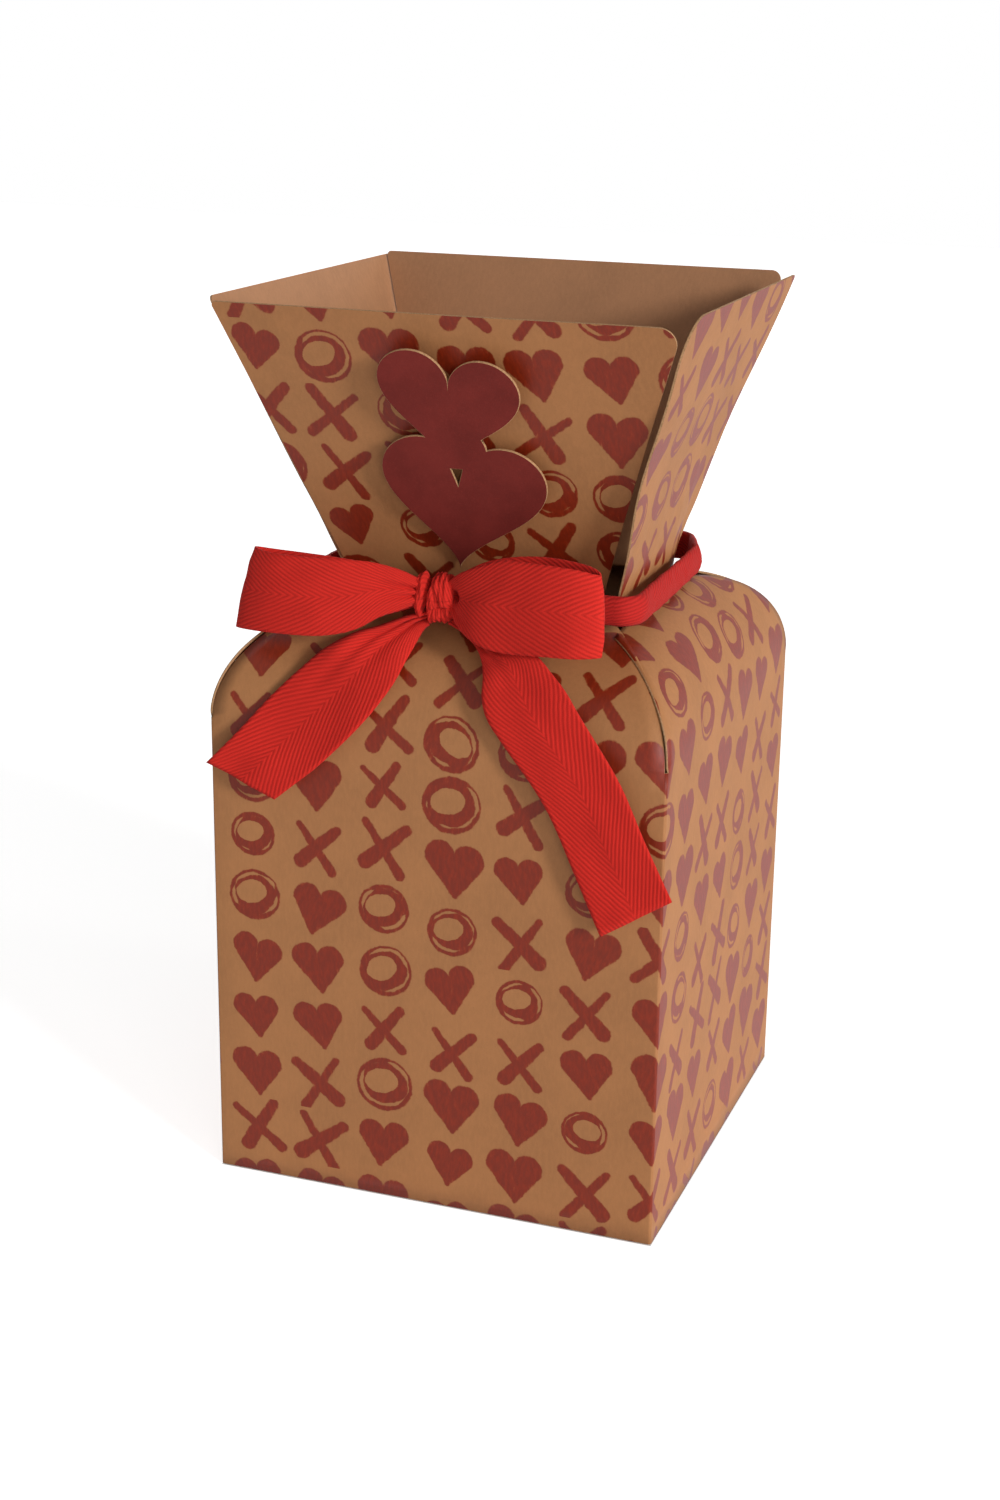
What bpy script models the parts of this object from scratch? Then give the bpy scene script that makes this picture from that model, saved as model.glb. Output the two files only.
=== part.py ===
"""Bouquet box: a sleeve of folded kraft card with a flared collar, a tied tape bow and a heart tag.

Metres, Z up. The front faces -Y. The origin is the middle of the base, on the surface it stands on.
"""

import math

import bpy
import bmesh
from mathutils import Matrix, Vector

# Card
CARD = 0.0006
CLEARANCE = 0.0003

# Body, measured over the outside of the card
BODY_WIDTH = 0.140
SLIT_HEIGHT = 0.146
NECK_HEIGHT = 0.180
INNER_NECK_DROP = 0.0012
SHOULDER_TURN = math.radians(80)
SHOULDER_STEPS = 12

# Each panel, seen from outside: how far its neck crease and its collar's top edge lie from the
# middle, how far each reaches to its left and right, the collar's height and its corners' radii
PANELS = {
    "front": {
        "neck_out": 0.0320,
        "neck_left": 0.0380,
        "neck_right": 0.0395,
        "top_out": 0.0675,
        "top_left": 0.0682,
        "top_right": 0.0690,
        "top": 0.2670,
        "corner_left": 0.0012,
        "corner_right": 0.0050,
    },
    "right": {
        "neck_out": 0.0460,
        "neck_left": 0.0450,
        "neck_right": 0.0190,
        "top_out": 0.0705,
        "top_left": 0.0655,
        "top_right": 0.0555,
        "top": 0.2690,
        "corner_left": 0.0120,
        "corner_right": 0.0010,
    },
    "back": {
        "neck_out": 0.0320,
        "neck_left": 0.0395,
        "neck_right": 0.0380,
        "top_out": 0.0650,
        "top_left": 0.0645,
        "top_right": 0.0696,
        "top": 0.2690,
        "corner_left": 0.0030,
        "corner_right": 0.0012,
    },
    "left": {
        "neck_out": 0.0395,
        "neck_left": 0.0330,
        "neck_right": 0.0325,
        "top_out": 0.0703,
        "top_left": 0.0665,
        "top_right": 0.0645,
        "top": 0.2680,
        "corner_left": 0.0012,
        "corner_right": 0.0015,
    },
}
SIDES = ("front", "right", "back", "left")

# Collar
CORNER_STEPS = 8
CREASE_GAP = 0.0007

# Glued seam, inside the back left corner
SEAM_WIDTH = 0.012
SEAM_MARGIN = 0.004

# Base: one outer flap with a tongue, two side flaps and an inner flap with a slot
FLAP_REACH = 0.099
FLAP_TAPER = 0.006
TONGUE_HALF = 0.020
TONGUE_RISE = 0.007
TONGUE_NECK = 0.003
SLOT_WIDTH = 0.003
SIDE_FLAP_REACH = 0.045
SIDE_FLAP_TIP_HALF = 0.045
BACK_FLAP_REACH = 0.080
BACK_FLAP_TIP_HALF = 0.050

# Ribbon: 25 mm tape
TAPE_THICKNESS = 0.0005
BAND_THICKNESS = 0.0024
BAND_EASE_RIGHT = 0.0023
BAND_EASE_LEFT = 0.0022
BAND_EASE_BACK = 0.0017
BAND_EASE_CORNER = 0.0016
BAND_EASE_FRONT = 0.0002
BAND_SLACK_LEFT = 0.0067
BAND_CORNER = 0.0035
BAND_HEIGHT_FRONT = 0.0090
BAND_HEIGHT_SIDE = 0.0125
BAND_RISE = 0.0056
BAND_DIP = 0.0020
BAND_BULGE = 0.0009
KNOT_WIDTH = 0.013
KNOT_HEIGHT = 0.0145
KNOT_DEPTH = 0.0085
KNOT_X = -0.0027
KNOT_RISE = 0.0043
KNOT_ROUND = 0.0032
TAPE_STEPS = 5

# Loops of the bow: rows from the knot out to the fold and home again, each with its lower and its
# upper edge, as distances out from the knot's side, forward of its back and above its middle
LOOP_LEFT = (
    ((0.0000, 0.0059, -0.0043), (0.0000, 0.0054, 0.0052)),
    ((0.0105, 0.0119, -0.0095), (0.0105, 0.0099, 0.0087)),
    ((0.0255, 0.0154, -0.0125), (0.0240, 0.0129, 0.0107)),
    ((0.0425, 0.0179, -0.0139), (0.0385, 0.0149, 0.0114)),
    ((0.0560, 0.0149, -0.0137), (0.0497, 0.0119, 0.0113)),
    ((0.0425, 0.0104, -0.0131), (0.0385, 0.0079, 0.0110)),
    ((0.0255, 0.0064, -0.0115), (0.0240, 0.0049, 0.0100)),
    ((0.0105, 0.0034, -0.0088), (0.0105, 0.0029, 0.0077)),
    ((0.0000, 0.0021, -0.0038), (0.0000, 0.0019, 0.0042)),
)
LOOP_RIGHT = (
    ((0.0000, 0.0059, -0.0043), (0.0000, 0.0054, 0.0057)),
    ((0.0119, 0.0129, -0.0091), (0.0119, 0.0094, 0.0127)),
    ((0.0249, 0.0179, -0.0093), (0.0249, 0.0129, 0.0170)),
    ((0.0379, 0.0214, -0.0091), (0.0354, 0.0149, 0.0165)),
    ((0.0456, 0.0189, -0.0081), (0.0424, 0.0129, 0.0155)),
    ((0.0379, 0.0139, -0.0071), (0.0354, 0.0084, 0.0163)),
    ((0.0249, 0.0079, -0.0068), (0.0249, 0.0049, 0.0160)),
    ((0.0119, 0.0037, -0.0061), (0.0119, 0.0026, 0.0117)),
    ((0.0000, 0.0021, -0.0038), (0.0000, 0.0019, 0.0047)),
)

# Tails: where each starts under the knot, as distances out from its middle, forward and down, and
# then rows of edge points, as distances to the right of the knot, off the card and below the knot
TAIL_START = ((0.0055, 0.0, 0.0), (0.0008, 0.0006, 0.0009))
TAIL_LEFT = (
    ((-0.0153, 0.0091, 0.0045), (-0.0035, 0.0081, 0.0067)),
    ((-0.0303, 0.0097, 0.0079), (-0.0108, 0.0035, 0.0195)),
    ((-0.0433, 0.0068, 0.0165), (-0.0188, 0.0048, 0.0295)),
    ((-0.0663, 0.0065, 0.0430), (-0.0455, 0.0065, 0.0517)),
)
TAIL_RIGHT = (
    ((0.0087, 0.0084, 0.0052), (0.0197, 0.0111, 0.0034)),
    ((0.0162, 0.0078, 0.0097), (0.0357, 0.0096, 0.0067)),
    ((0.0182, 0.0048, 0.0177), (0.0477, 0.0051, 0.0167)),
    ((0.0241, 0.0036, 0.0292), (0.0557, 0.0039, 0.0272)),
    ((0.0425, 0.0042, 0.0597), (0.0653, 0.0042, 0.0427)),
    ((0.0548, 0.0045, 0.0812), (0.0755, 0.0045, 0.0677)),
)

# Heart tag, two hearts cut as one piece, tucked behind the band
TAG_THICKNESS = 0.0008
TAG_START = 0.0132
TAG_LIFT = 0.0008
TAG_LEAN = math.radians(3.5)
TAG_LOWER_MIDDLE = Vector((0.0032, 0.0262))
TAG_LOWER_SIZE = 0.0248
TAG_LOWER_TILT = math.radians(-6)
TAG_UPPER_MIDDLE = Vector((0.0020, 0.0576))
TAG_UPPER_SIZE = 0.0208
TAG_UPPER_TILT = math.radians(-7)
TAG_WAIST_MIDDLE = Vector((0.0025, 0.0415))
TAG_WAIST_RADIUS = 0.0092
TAG_HOLE_MIDDLE = Vector((0.0019, 0.0325))
TAG_HOLE_HALF = Vector((0.0018, 0.0030))
HEART_STEPS = 96
WAIST_STEPS = 24

BODY_HALF = BODY_WIDTH / 2
WALL_INSIDE = BODY_HALF - CARD - CLEARANCE

KRAFT_OUTSIDE = (0.381, 0.171, 0.070, 1)
KRAFT_DARK = (0.30, 0.14, 0.06, 1)
TAPE_RED = (0.58, 0.022, 0.022, 1)
TAG_RED = (0.17, 0.022, 0.022, 1)

for leftover in list(bpy.data.objects):
    bpy.data.objects.remove(leftover, do_unlink=True)

parts = bpy.data.collections.new("bouquet_box")
cutters = bpy.data.collections.new("cutters")
bpy.context.scene.collection.children.link(parts)
bpy.context.scene.collection.children.link(cutters)


def material(name, colour, roughness):
    made = bpy.data.materials.new(name)
    made.use_nodes = True
    shader = made.node_tree.nodes["Principled BSDF"]
    shader.inputs["Base Color"].default_value = colour
    shader.inputs["Roughness"].default_value = roughness
    shader.inputs["Metallic"].default_value = 0.0
    return made


def add_object(name, data, finish, collection=parts):
    obj = bpy.data.objects.new(name, data)
    obj.data.materials.append(finish)
    collection.objects.link(obj)
    return obj


def turned(side):
    """Rotation that carries the front panel's frame to the named side."""
    return Matrix.Rotation(SIDES.index(side) * math.pi / 2, 4, "Z")


def is_outer(side):
    """The left and right panels' shoulders lie outside the front and back ones' edges."""
    return side in ("right", "left")


def neighbour(side, way):
    """The panel to the left or right of one, seen from outside."""
    step = {"left": -1, "right": 1}[way]
    return SIDES[(SIDES.index(side) + step) % len(SIDES)]


def ruled_sheet(name, rows, thickness, finish, inward=-1.0, closed=False, smooth=True):
    """A sheet through rows of points, given a thickness with Solidify."""
    mesh = bpy.data.meshes.new(name)
    shell = bmesh.new()
    grid = [[shell.verts.new(point) for point in row] for row in rows]
    pairs = list(zip(grid, grid[1:]))
    if closed:
        pairs.append((grid[-1], grid[0]))
    for lower, upper in pairs:
        for i in range(len(lower) - 1):
            shell.faces.new((lower[i], lower[i + 1], upper[i + 1], upper[i]))
    shell.to_mesh(mesh)
    shell.free()
    if smooth:
        mesh.shade_smooth()
    obj = add_object(name, mesh, finish)
    solid = obj.modifiers.new("Card", "SOLIDIFY")
    solid.thickness = thickness
    solid.offset = inward
    solid.use_even_offset = True
    return obj


def flat_piece(name, outline, thickness, finish, frame, holes=()):
    """A flat outline in the XY plane of a frame, with its thickness below that plane."""
    curve = bpy.data.curves.new(name, "CURVE")
    curve.dimensions = "2D"
    curve.fill_mode = "BOTH"
    curve.extrude = thickness / 2
    for loop in (outline, *holes):
        spline = curve.splines.new("POLY")
        spline.points.add(len(loop) - 1)
        for point, (x, y) in zip(spline.points, loop):
            point.co = (x, y, 0, 1)
        spline.use_cyclic_u = True
    obj = add_object(name, curve, finish)
    obj.matrix_world = frame @ Matrix.Translation((0, 0, -thickness / 2))
    return obj


def rounded_outline(corners, radii):
    """A closed outline, running anticlockwise, whose corners are arcs of the given radii."""
    outline = []
    count = len(corners)
    for i, (corner, radius) in enumerate(zip(corners, radii)):
        corner = Vector(corner)
        before = (Vector(corners[i - 1]) - corner).normalized()
        after = (Vector(corners[(i + 1) % count]) - corner).normalized()
        if radius == 0:
            outline.append(tuple(corner))
            continue
        half = before.angle(after) / 2
        centre = corner + (before + after).normalized() * radius / math.sin(half)
        start = corner + before * radius / math.tan(half) - centre
        sweep = math.pi - 2 * half
        for k in range(CORNER_STEPS + 1):
            turn = Matrix.Rotation(sweep * k / CORNER_STEPS, 2)
            outline.append(tuple(centre + turn @ start))
    return outline


def smooth_rows(rows, steps):
    """Rows of points on a smooth curve through the given rows."""
    ends = [rows[0]] + rows + [rows[-1]]
    made = []
    for a, b, c, d in zip(ends, ends[1:], ends[2:], ends[3:]):
        for k in range(steps):
            t = k / steps
            weights = (
                -0.5 * t**3 + t**2 - 0.5 * t,
                1.5 * t**3 - 2.5 * t**2 + 1,
                -1.5 * t**3 + 2 * t**2 + 0.5 * t,
                0.5 * t**3 - 0.5 * t**2,
            )
            row = []
            for points in zip(a, b, c, d):
                row.append(sum((w * Vector(p) for w, p in zip(weights, points)), Vector()))
            made.append(row)
    made.append([Vector(point) for point in rows[-1]])
    return made


def neck_height(side):
    """The front and back panels tuck in under the side ones, so their creases are lower."""
    return NECK_HEIGHT if is_outer(side) else NECK_HEIGHT - INNER_NECK_DROP


def shoulder(side, turn):
    """Distance from the middle, and height, on a shoulder's quarter ellipse."""
    across = (BODY_HALF - PANELS[side]["neck_out"]) / (1 - math.cos(SHOULDER_TURN))
    up = (neck_height(side) - SLIT_HEIGHT) / math.sin(SHOULDER_TURN)
    return BODY_HALF - across * (1 - math.cos(turn)), SLIT_HEIGHT + up * math.sin(turn)


def shoulder_reach(side, way, turn):
    """How far a shoulder reaches to one side: past its neighbour's card, or inside it."""
    share = turn / SHOULDER_TURN
    neck_reach = PANELS[side][f"neck_{way}"]
    next_side = neighbour(side, way)
    next_neck_out = PANELS[next_side]["neck_out"]
    next_out = shoulder(next_side, turn)[0]
    if is_outer(side):
        return min(next_out + (neck_reach - next_neck_out) * share**2, WALL_INSIDE)
    inside = CARD + CLEARANCE
    tuck = next_neck_out - inside - neck_reach
    return next_out - inside - tuck * share


def body_panel(side, finish):
    """One wall with the curved shoulder above it, up to the neck crease."""
    wall_half = WALL_INSIDE if is_outer(side) else BODY_HALF
    rows = []
    for height in (0, SLIT_HEIGHT):
        rows.append(((-wall_half, -BODY_HALF, height), (wall_half, -BODY_HALF, height)))
    for k in range(1, SHOULDER_STEPS + 1):
        turn = SHOULDER_TURN * k / SHOULDER_STEPS
        out, height = shoulder(side, turn)
        left = shoulder_reach(side, "left", turn)
        right = shoulder_reach(side, "right", turn)
        rows.append(((-left, -out, height), (right, -out, height)))
    panel = ruled_sheet(f"{side}_wall", rows, CARD, finish)
    panel.matrix_world = turned(side)
    return panel


def collar_angle(side):
    """How far a collar leans out from upright."""
    panel = PANELS[side]
    return math.atan2(panel["top_out"] - panel["neck_out"], panel["top"] - neck_height(side))


def collar_frame(side):
    """Frame on a neck crease: X along the crease, Y up the collar's slope, Z outward."""
    lean = Matrix.Rotation(math.pi / 2 + collar_angle(side), 4, "X")
    crease = Matrix.Translation((0, -PANELS[side]["neck_out"], neck_height(side)))
    return turned(side) @ crease @ lean


def collar(side, finish):
    """One flared panel of the collar, hinged at its neck crease."""
    panel = PANELS[side]
    length = (panel["top"] - neck_height(side)) / math.cos(collar_angle(side))
    left_slope = (panel["top_left"] - panel["neck_left"]) / length
    right_slope = (panel["top_right"] - panel["neck_right"]) / length
    corners = [
        (-panel["neck_left"] - left_slope * CREASE_GAP, CREASE_GAP),
        (panel["neck_right"] + right_slope * CREASE_GAP, CREASE_GAP),
        (panel["top_right"], length),
        (-panel["top_left"], length),
    ]
    outline = rounded_outline(corners, (0, 0, panel["corner_right"], panel["corner_left"]))
    return flat_piece(f"collar_{side}", outline, CARD, finish, collar_frame(side))


def seam_flap(finish):
    """The glued flap of the left wall, inside the back wall."""
    back = BODY_HALF - CARD - CLEARANCE
    edge = -WALL_INSIDE
    low = SEAM_MARGIN
    high = SLIT_HEIGHT - SEAM_MARGIN
    outline = [
        (edge, low),
        (edge + SEAM_WIDTH, low + SEAM_MARGIN),
        (edge + SEAM_WIDTH, high - SEAM_MARGIN),
        (edge, high),
    ]
    frame = Matrix.Translation((0, back - CARD, 0)) @ Matrix.Rotation(math.pi / 2, 4, "X")
    return flat_piece("seam_flap", outline, CARD, finish, frame)


def base_flap_front(finish):
    """The outer base flap, whose tongue stands up through the inner flap's slot."""
    hinge = -WALL_INSIDE
    root_half = WALL_INSIDE - CLEARANCE
    tongue_at = hinge + FLAP_REACH
    taper_at = tongue_at - FLAP_TAPER
    rows = [
        ((-root_half, hinge, 0), (root_half, hinge, 0)),
        ((-root_half + FLAP_TAPER, taper_at, 0), (root_half - FLAP_TAPER, taper_at, 0)),
        ((-TONGUE_HALF, tongue_at - TONGUE_NECK, 0), (TONGUE_HALF, tongue_at - TONGUE_NECK, 0)),
        ((-TONGUE_HALF, tongue_at, 0), (TONGUE_HALF, tongue_at, 0)),
        ((-TONGUE_HALF, tongue_at, TONGUE_RISE), (TONGUE_HALF, tongue_at, TONGUE_RISE)),
    ]
    local = [[Vector(point) - Vector((0, hinge, 0)) for point in row] for row in rows]
    flap = ruled_sheet("base_flap_front", local, CARD, finish, inward=1.0, smooth=False)
    flap.location = (0, hinge, 0)
    return flap


def base_flap_side(side, finish):
    """A middle base flap, between the outer one and the inner one."""
    sign = 1 if side == "right" else -1
    height = 2 * CARD + CLEARANCE
    root = WALL_INSIDE - CLEARANCE
    tip = root - SIDE_FLAP_REACH
    outline = [
        (sign * root, -root + FLAP_TAPER),
        (sign * root, root - FLAP_TAPER),
        (sign * tip, SIDE_FLAP_TIP_HALF),
        (sign * tip, -SIDE_FLAP_TIP_HALF),
    ]
    return flat_piece(f"base_flap_{side}", outline, CARD, finish, Matrix.Translation((0, 0, height)))


def base_flap_back(finish):
    """The inner base flap, with the slot that holds the tongue."""
    height = 3 * CARD + 2 * CLEARANCE
    root = WALL_INSIDE - 2 * CLEARANCE - CARD
    tip = root - BACK_FLAP_REACH
    tongue_at = -WALL_INSIDE + FLAP_REACH
    slot_half = TONGUE_HALF + SLOT_WIDTH / 2
    near = tongue_at - CARD / 2 - SLOT_WIDTH / 2
    outline = [
        (-root + CARD, root),
        (root - CARD, root),
        (BACK_FLAP_TIP_HALF, tip),
        (-BACK_FLAP_TIP_HALF, tip),
    ]
    slot = [
        (-slot_half, near),
        (slot_half, near),
        (slot_half, near + SLOT_WIDTH),
        (-slot_half, near + SLOT_WIDTH),
    ]
    return flat_piece("base_flap_back", outline, CARD, finish, Matrix.Translation((0, 0, height)), [slot])


def collar_out(side, height):
    """Distance from the middle to a collar's outer face at some height."""
    return PANELS[side]["neck_out"] + (height - neck_height(side)) * math.tan(collar_angle(side))


def collar_reach(side, way, height):
    """How far a collar reaches to its left or right at some height."""
    panel = PANELS[side]
    share = (height - neck_height(side)) / (panel["top"] - neck_height(side))
    return panel[f"neck_{way}"] + (panel[f"top_{way}"] - panel[f"neck_{way}"]) * share


def band_middle():
    return NECK_HEIGHT + BAND_RISE


def band_front():
    """Distance from the middle to the band's inside in front, taut over the right collar's edge."""
    top = band_middle() + BAND_HEIGHT_FRONT / 2
    return collar_reach("right", "left", top) + BAND_EASE_FRONT


def neck_band(finish):
    """The tape gathered round the neck, taut over the edges of the side panels."""
    top = band_middle() + BAND_HEIGHT_SIDE / 2
    front = band_front()
    right = collar_out("right", top) + BAND_EASE_RIGHT
    left = collar_out("left", top) + BAND_EASE_LEFT
    back = collar_out("back", top) + BAND_EASE_BACK
    right_back = collar_reach("right", "right", top) + BAND_EASE_CORNER
    back_right = collar_reach("back", "left", top) + BAND_EASE_CORNER
    left_front = collar_out("front", top) + BAND_SLACK_LEFT - BAND_DIP
    corners = [
        (right, -front),
        (right, right_back),
        (back_right, back),
        (-left, back),
        (-left, -left_front),
        (KNOT_X - KNOT_WIDTH / 2, -front),
    ]
    path = [Vector(place) for place in rounded_outline(corners, [BAND_CORNER] * len(corners))]
    rows = []
    for i, place in enumerate(path):
        along = (path[(i + 1) % len(path)] - path[i - 1]).normalized()
        out = Vector((along.y, -along.x))
        in_front = place.y < BAND_CORNER - left_front
        height = BAND_HEIGHT_FRONT if in_front else BAND_HEIGHT_SIDE
        middle = band_middle()
        if in_front and place.x < -left / 2:
            middle -= BAND_DIP
        row = []
        for share in (-0.5, -0.25, 0.0, 0.25, 0.5):
            spot = place + out * BAND_BULGE * (1 - 4 * share**2)
            row.append((spot.x, spot.y, middle + share * height))
        rows.append(row)
    return ruled_sheet("ribbon_neck_band", rows, BAND_THICKNESS, finish, closed=True)


def knot(finish):
    """The bow's knot, in front of the neck band."""
    mesh = bpy.data.meshes.new("ribbon_knot")
    block = bmesh.new()
    bmesh.ops.create_cube(block, size=1)
    bmesh.ops.scale(block, vec=(KNOT_WIDTH, KNOT_DEPTH, KNOT_HEIGHT), verts=block.verts)
    block.to_mesh(mesh)
    block.free()
    obj = add_object("ribbon_knot", mesh, finish)
    obj.location = (KNOT_X, knot_back() - KNOT_DEPTH / 2, knot_middle())
    rounding = obj.modifiers.new("Rounding", "BEVEL")
    rounding.width = KNOT_ROUND
    rounding.segments = 4
    mesh.shade_smooth()
    return obj


def knot_middle():
    """Height of the knot's middle."""
    return NECK_HEIGHT + KNOT_RISE


def knot_back():
    """Y of the knot's back, just clear of the band."""
    return -(band_front() + BAND_BULGE + BAND_THICKNESS + CLEARANCE)


def knot_side(sign):
    """X of a knot's side, with the clearance a loop keeps to it."""
    return KNOT_X + sign * (KNOT_WIDTH / 2 + CLEARANCE)


def knot_foot():
    """Height just below the knot."""
    return knot_middle() - KNOT_HEIGHT / 2 - CLEARANCE


def tape(name, rows, finish):
    """A stretch of tape on a smooth curve through rows of points from edge to edge."""
    return ruled_sheet(name, smooth_rows(rows, TAPE_STEPS), TAPE_THICKNESS, finish, inward=0.0)


def loop(name, table, sign, finish):
    """A loop of the bow: its front layer out to the fold, and its back layer home again."""
    rows = []
    for edges in table:
        row = []
        for out, forward, above in edges:
            row.append((knot_side(sign) + sign * out, knot_back() - forward, knot_middle() + above))
        rows.append(row)
    return tape(name, rows, finish)


def tail_root():
    """The point under the knot that both tails hang from."""
    return Vector((KNOT_X, knot_back() - KNOT_DEPTH / 2, knot_foot() - TAPE_THICKNESS / 2))


def front_out(height):
    """Distance from the middle to the front panel's outer face at some height."""
    up = (neck_height("front") - SLIT_HEIGHT) / math.sin(SHOULDER_TURN)
    rise = min(max((height - SLIT_HEIGHT) / up, 0), math.sin(SHOULDER_TURN))
    return shoulder("front", math.asin(rise))[0]


def tail(name, table, sign, finish):
    """A tail of the bow, from under the knot over the shoulder to its oblique cut end."""
    root = tail_root()
    start = []
    for out, forward, down in TAIL_START:
        start.append((root.x + sign * out, root.y - forward, root.z - down))
    if sign > 0:
        start.reverse()
    rows = [start]
    for edges in table:
        row = []
        for right, off, down in edges:
            height = knot_foot() - down
            row.append((KNOT_X + right, -front_out(height) - off, height))
        rows.append(row)
    made = tape(name, rows, finish)
    made.data.transform(Matrix.Translation(-root))
    made.location = root
    return made


def heart(middle, size, tilt):
    """Points on a heart: size is half its width, and it stands on its tip."""
    turn = Matrix.Rotation(tilt, 2)
    points = []
    for k in range(HEART_STEPS):
        a = 2 * math.pi * k / HEART_STEPS
        x = math.sin(a) ** 3
        y = (13 * math.cos(a) - 5 * math.cos(2 * a) - 2 * math.cos(3 * a) - math.cos(4 * a)) / 16
        points.append(middle + turn @ Vector((x, y)) * size)
    return points


def circle(middle, radius, steps):
    points = []
    for k in range(steps):
        a = 2 * math.pi * k / steps
        points.append(middle + Vector((math.cos(a), math.sin(a))) * radius)
    return points


def tag_frame():
    """Frame on the tag's front face: Y up the tag, Z outward, leaning off the front collar."""
    lift = Matrix.Translation((0, TAG_START, TAG_LIFT + TAG_THICKNESS))
    return collar_frame("front") @ lift @ Matrix.Rotation(TAG_LEAN, 4, "X")


def solid_prism(name, outline, thickness, frame, finish, collection):
    """A flat outline as a closed mesh, for a Boolean."""
    mesh = bpy.data.meshes.new(name)
    prism = bmesh.new()
    face = prism.faces.new([prism.verts.new((x, y, -thickness)) for x, y in outline])
    top = bmesh.ops.extrude_face_region(prism, geom=[face])
    moved = [item for item in top["geom"] if isinstance(item, bmesh.types.BMVert)]
    bmesh.ops.translate(prism, vec=(0, 0, thickness), verts=moved)
    bmesh.ops.recalc_face_normals(prism, faces=prism.faces)
    prism.to_mesh(mesh)
    prism.free()
    obj = add_object(name, mesh, finish, collection)
    obj.matrix_world = frame
    return obj


def helper(obj):
    obj.hide_render = True
    obj.display_type = "WIRE"
    return obj


def boolean(obj, other, operation):
    step = obj.modifiers.new(operation.title(), "BOOLEAN")
    step.operation = operation
    step.object = other
    return step


def heart_tag(finish):
    """Two hearts, one over the other, cut from one piece of board, with a small hole between."""
    frame = tag_frame()
    lower = heart(TAG_LOWER_MIDDLE, TAG_LOWER_SIZE, TAG_LOWER_TILT)
    upper = heart(TAG_UPPER_MIDDLE, TAG_UPPER_SIZE, TAG_UPPER_TILT)
    waist = circle(TAG_WAIST_MIDDLE, TAG_WAIST_RADIUS, WAIST_STEPS)
    hole = [
        TAG_HOLE_MIDDLE + Vector((-TAG_HOLE_HALF.x, TAG_HOLE_HALF.y)),
        TAG_HOLE_MIDDLE + Vector((0, -TAG_HOLE_HALF.y)),
        TAG_HOLE_MIDDLE + TAG_HOLE_HALF,
    ]
    tag = solid_prism("heart_tag", lower, TAG_THICKNESS, frame, finish, parts)
    second = helper(solid_prism("upper_heart", upper, TAG_THICKNESS, frame, finish, cutters))
    bridge = helper(solid_prism("tag_waist", waist, TAG_THICKNESS, frame, finish, cutters))
    deep = frame @ Matrix.Translation((0, 0, TAG_THICKNESS))
    cutter = helper(solid_prism("tag_hole", hole, 3 * TAG_THICKNESS, deep, finish, cutters))
    boolean(tag, second, "UNION")
    boolean(tag, bridge, "UNION")
    boolean(tag, cutter, "DIFFERENCE")
    return tag


def report_hinges():
    """Prints the joint axes' places, for the record."""
    for side in SIDES:
        print(side, "crease", tuple(round(v, 5) for v in collar_frame(side).translation))
    print("tail root", tuple(round(v, 5) for v in tail_root()))
    print("tag axis", tuple(round(v, 5) for v in tag_frame().to_3x3() @ Vector((0, 1, 0))))


def build():
    for side in SIDES:
        body_panel(side, material(f"{side} wall kraft", KRAFT_OUTSIDE, 0.55))
        collar(side, material(f"{side} collar kraft", KRAFT_OUTSIDE, 0.55))
    seam_flap(material("seam kraft", KRAFT_DARK, 0.6))
    base_flap_front(material("front flap kraft", KRAFT_OUTSIDE, 0.6))
    for side in ("left", "right"):
        base_flap_side(side, material(f"{side} flap kraft", KRAFT_DARK, 0.6))
    base_flap_back(material("back flap kraft", KRAFT_DARK, 0.6))
    neck_band(material("band tape", TAPE_RED, 0.7))
    knot(material("knot tape", TAPE_RED, 0.7))
    loop("bow_loop_left", LOOP_LEFT, -1, material("left loop tape", TAPE_RED, 0.7))
    loop("bow_loop_right", LOOP_RIGHT, 1, material("right loop tape", TAPE_RED, 0.7))
    tail("ribbon_tail_left", TAIL_LEFT, -1, material("left tail tape", TAPE_RED, 0.7))
    tail("ribbon_tail_right", TAIL_RIGHT, 1, material("right tail tape", TAPE_RED, 0.7))
    heart_tag(material("tag board", TAG_RED, 0.5))
    report_hinges()


build()
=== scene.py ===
import math

import bmesh
import bpy
from mathutils import Matrix, Vector, noise

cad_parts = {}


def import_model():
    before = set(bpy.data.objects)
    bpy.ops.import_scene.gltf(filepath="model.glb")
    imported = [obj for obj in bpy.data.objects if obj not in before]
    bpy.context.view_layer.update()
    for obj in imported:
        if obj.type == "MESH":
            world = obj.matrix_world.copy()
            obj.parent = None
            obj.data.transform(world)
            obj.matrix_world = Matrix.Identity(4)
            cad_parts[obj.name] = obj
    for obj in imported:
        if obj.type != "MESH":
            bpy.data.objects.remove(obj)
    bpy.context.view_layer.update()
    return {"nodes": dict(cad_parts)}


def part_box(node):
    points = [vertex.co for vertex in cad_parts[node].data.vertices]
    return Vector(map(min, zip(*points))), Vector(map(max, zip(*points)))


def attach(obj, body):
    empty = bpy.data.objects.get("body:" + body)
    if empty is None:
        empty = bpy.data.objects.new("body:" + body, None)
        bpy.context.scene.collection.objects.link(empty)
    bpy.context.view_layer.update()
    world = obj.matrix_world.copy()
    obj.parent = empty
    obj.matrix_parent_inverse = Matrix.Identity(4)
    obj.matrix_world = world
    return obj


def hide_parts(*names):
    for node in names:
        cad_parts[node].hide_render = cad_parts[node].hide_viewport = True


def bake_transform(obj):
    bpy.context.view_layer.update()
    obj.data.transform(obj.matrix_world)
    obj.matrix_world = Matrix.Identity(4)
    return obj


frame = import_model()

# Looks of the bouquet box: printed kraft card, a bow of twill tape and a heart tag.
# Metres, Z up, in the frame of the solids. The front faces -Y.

# Camera: angles in degrees, distance and target in metres, lens in mm on a 36 mm long side
CAMERA_YAW = 19.801
CAMERA_PITCH = 17.736
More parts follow.
